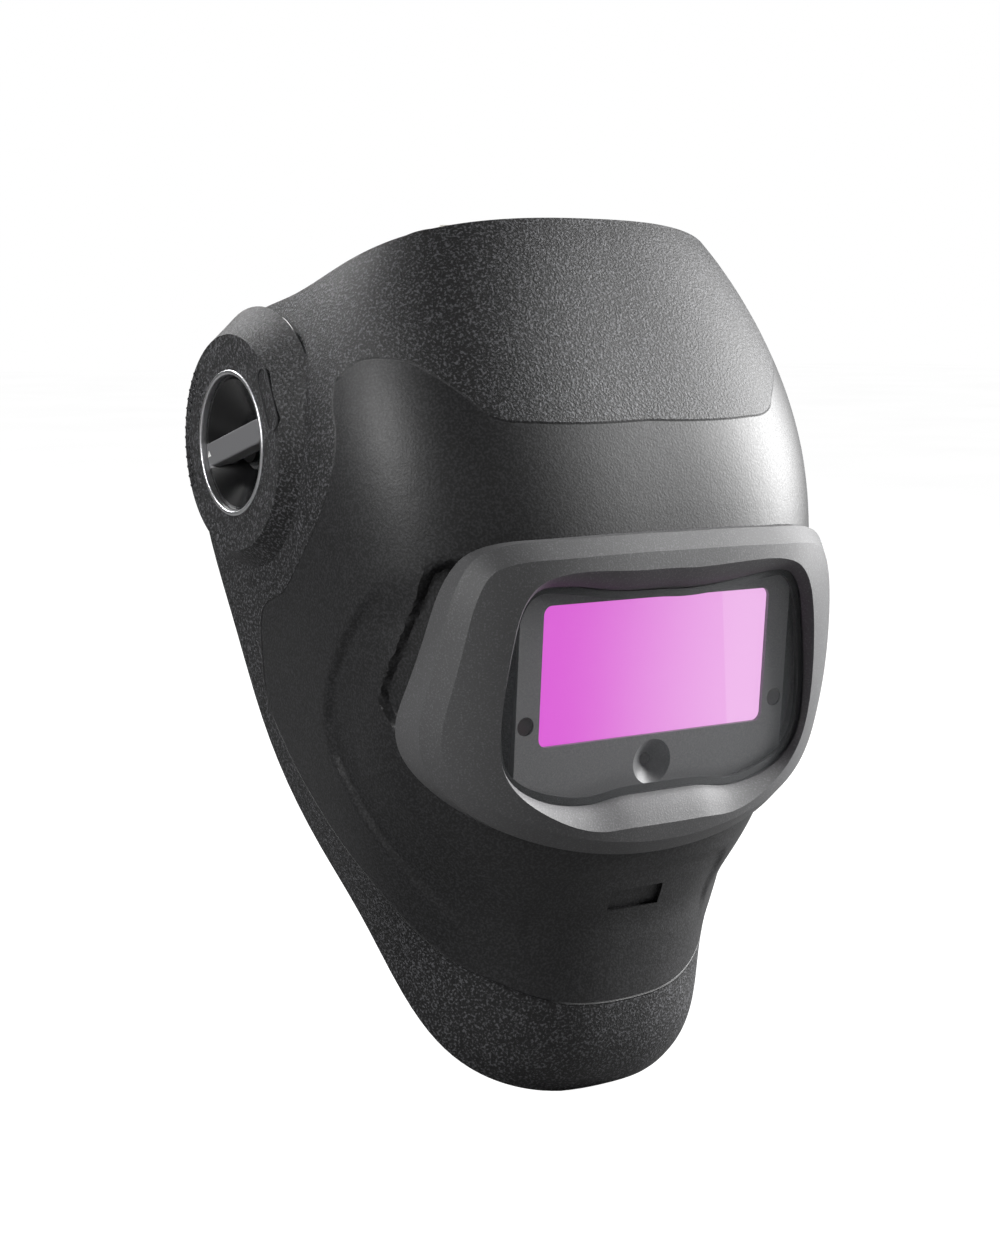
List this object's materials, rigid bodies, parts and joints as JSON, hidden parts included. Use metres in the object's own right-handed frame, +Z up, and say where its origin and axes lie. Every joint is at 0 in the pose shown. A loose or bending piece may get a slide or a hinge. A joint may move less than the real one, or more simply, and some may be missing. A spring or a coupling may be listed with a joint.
{
  "type": "welding helmet",
  "caption": "Auto-darkening welding helmet: black moulded face shell with a raised filter cover, friction pivots at the temples and a ratchet headband.",
  "frame": {"origin": "middle of the lift axis, between the two pivots", "axes": "+Z up, the wearer looks along -Y, +X is the wearer's left"},
  "size_m": [0.236, 0.2662, 0.3475],
  "materials": {
    "shell_black": "moulded black nylon, grained and satin",
    "cover_grey": "dark grey moulded nylon",
    "clear_plate": "clear polycarbonate",
    "seal_rubber": "soft black rubber",
    "housing_grey": "satin grey plastic",
    "filter_pink": "magenta coated filter glass",
    "cell_dark": "dark liquid crystal glass",
    "sensor_dark": "dark infrared lens",
    "board_green": "laminated circuit board",
    "tray_black": "matte black plastic",
    "cell_steel": "stamped bright steel",
    "button_grey": "soft grey rubber",
    "knob_black": "glossy black plastic",
    "ring_chrome": "bright plated",
    "brass": "turned",
    "steel": "zinc plated",
    "washer_fibre": "hard fibre",
    "acetal": "moulded natural acetal",
    "band_plastic": "flexible black nylon",
    "sweat_foam": "black foam-backed cloth"
  },
  "bodies": {
    "headband": {"headband": "band_plastic", "side_rail_right": "band_plastic", "side_rail_left": "band_plastic", "sweatband": "sweat_foam", "crown_strap_cross": "band_plastic", "crown_strap_rear": "band_plastic", "crown_studs": "acetal", "rear_cradle": "band_plastic", "cradle_cover": "band_plastic", "rear_pad": "sweat_foam", "dial_washer": "washer_fibre"},
    "carriers": {"pivot_carrier_right": "band_plastic", "pivot_carrier_left": "band_plastic", "friction_washer_right": "washer_fibre", "friction_washer_left": "washer_fibre", "pivot_bolt_right": "steel", "pivot_bolt_left": "steel"},
    "shell": {"shell": "shell_black", "pivot_bush_right": "acetal", "pivot_bush_left": "acetal", "knob_ring_right": "ring_chrome", "knob_ring_left": "ring_chrome", "filter_holder": "band_plastic", "filter_housing_front": "housing_grey", "filter_housing_back": "housing_grey", "filter_glass": "filter_pink", "liquid_crystal_cell": "cell_dark", "inner_plate": "clear_plate", "light_sensors": "sensor_dark", "circuit_board": "board_green"},
    "front_cover": {"front_cover": "cover_grey", "outer_plate": "clear_plate", "plate_seal": "seal_rubber"},
    "battery_tray_right": {"battery_tray_right": "tray_black", "coin_cell_right": "cell_steel"},
    "battery_tray_left": {"battery_tray_left": "tray_black", "coin_cell_left": "cell_steel"},
    "shade_button": {"shade_button": "button_grey"},
    "delay_button": {"delay_button": "button_grey"},
    "sensitivity_button": {"sensitivity_button": "button_grey"},
    "friction_knob_right": {"friction_knob_right": "knob_black", "knob_nut_right": "brass", "wave_spring_right": "steel"},
    "friction_knob_left": {"friction_knob_left": "knob_black", "knob_nut_left": "brass", "wave_spring_left": "steel"},
    "size_dial": {"size_dial": "band_plastic", "pinion": "acetal"},
    "rack_tongue_right": {"rack_tongue_right": "band_plastic"},
    "rack_tongue_left": {"rack_tongue_left": "band_plastic"}
  },
  "joints": [
    {"name": "reach_slide", "type": "slide", "parent": "headband", "child": "carriers", "axis": [0, -1, 0], "range_m": [0, 0.016]},
    {"name": "helmet_lift", "type": "hinge", "parent": "carriers", "child": "shell", "pos_m": [0, 0, 0], "axis": [-1, 0, 0], "range_deg": [0, 68]},
    {"name": "cover_pull", "type": "slide", "parent": "shell", "child": "front_cover", "axis": [0, -1, 0], "range_m": [0, 0.04]},
    {"name": "tray_right_slide", "type": "slide", "parent": "shell", "child": "battery_tray_right", "axis": [0, 0.0523, -0.9986], "range_m": [0, 0.017]},
    {"name": "tray_left_slide", "type": "slide", "parent": "shell", "child": "battery_tray_left", "axis": [0, 0.0523, -0.9986], "range_m": [0, 0.017]},
    {"name": "shade_press", "type": "slide", "parent": "shell", "child": "shade_button", "axis": [0, -0.9986, -0.0523], "range_m": [0, 0.0008], "stiffness_N_per_m": 600, "springref_m": -0.001},
    {"name": "delay_press", "type": "slide", "parent": "shell", "child": "delay_button", "axis": [0, -0.9986, -0.0523], "range_m": [0, 0.0008], "stiffness_N_per_m": 600, "springref_m": -0.001},
    {"name": "sensitivity_press", "type": "slide", "parent": "shell", "child": "sensitivity_button", "axis": [0, -0.9986, -0.0523], "range_m": [0, 0.0008], "stiffness_N_per_m": 600, "springref_m": -0.001},
    {"name": "knob_right_turn", "type": "hinge", "parent": "carriers", "child": "friction_knob_right", "pos_m": [-0.11, 0, 0], "axis": [-1, 0, 0], "range_deg": [-30, 120]},
    {"name": "knob_left_turn", "type": "hinge", "parent": "carriers", "child": "friction_knob_left", "pos_m": [0.11, 0, 0], "axis": [1, 0, 0], "range_deg": [-30, 120]},
    {"name": "dial_turn", "type": "hinge", "parent": "headband", "child": "size_dial", "pos_m": [0, 0.11, 0], "axis": [0, 1, 0], "range_deg": [0, 150]},
    {"name": "tongue_right_draw", "type": "hinge", "parent": "headband", "child": "rack_tongue_right", "pos_m": [0, 0.02, 0], "axis": [0, 0, 1], "range_deg": [-9.5, 9.5]},
    {"name": "tongue_left_draw", "type": "hinge", "parent": "headband", "child": "rack_tongue_left", "pos_m": [0, 0.02, 0], "axis": [0, 0, 1], "range_deg": [-9.5, 9.5]}
  ],
  "couplings": [
    {"joint": "tongue_right_draw", "follows": "dial_turn", "ratio": -0.061728},
    {"joint": "tongue_left_draw", "follows": "dial_turn", "ratio": 0.061728}
  ]
}
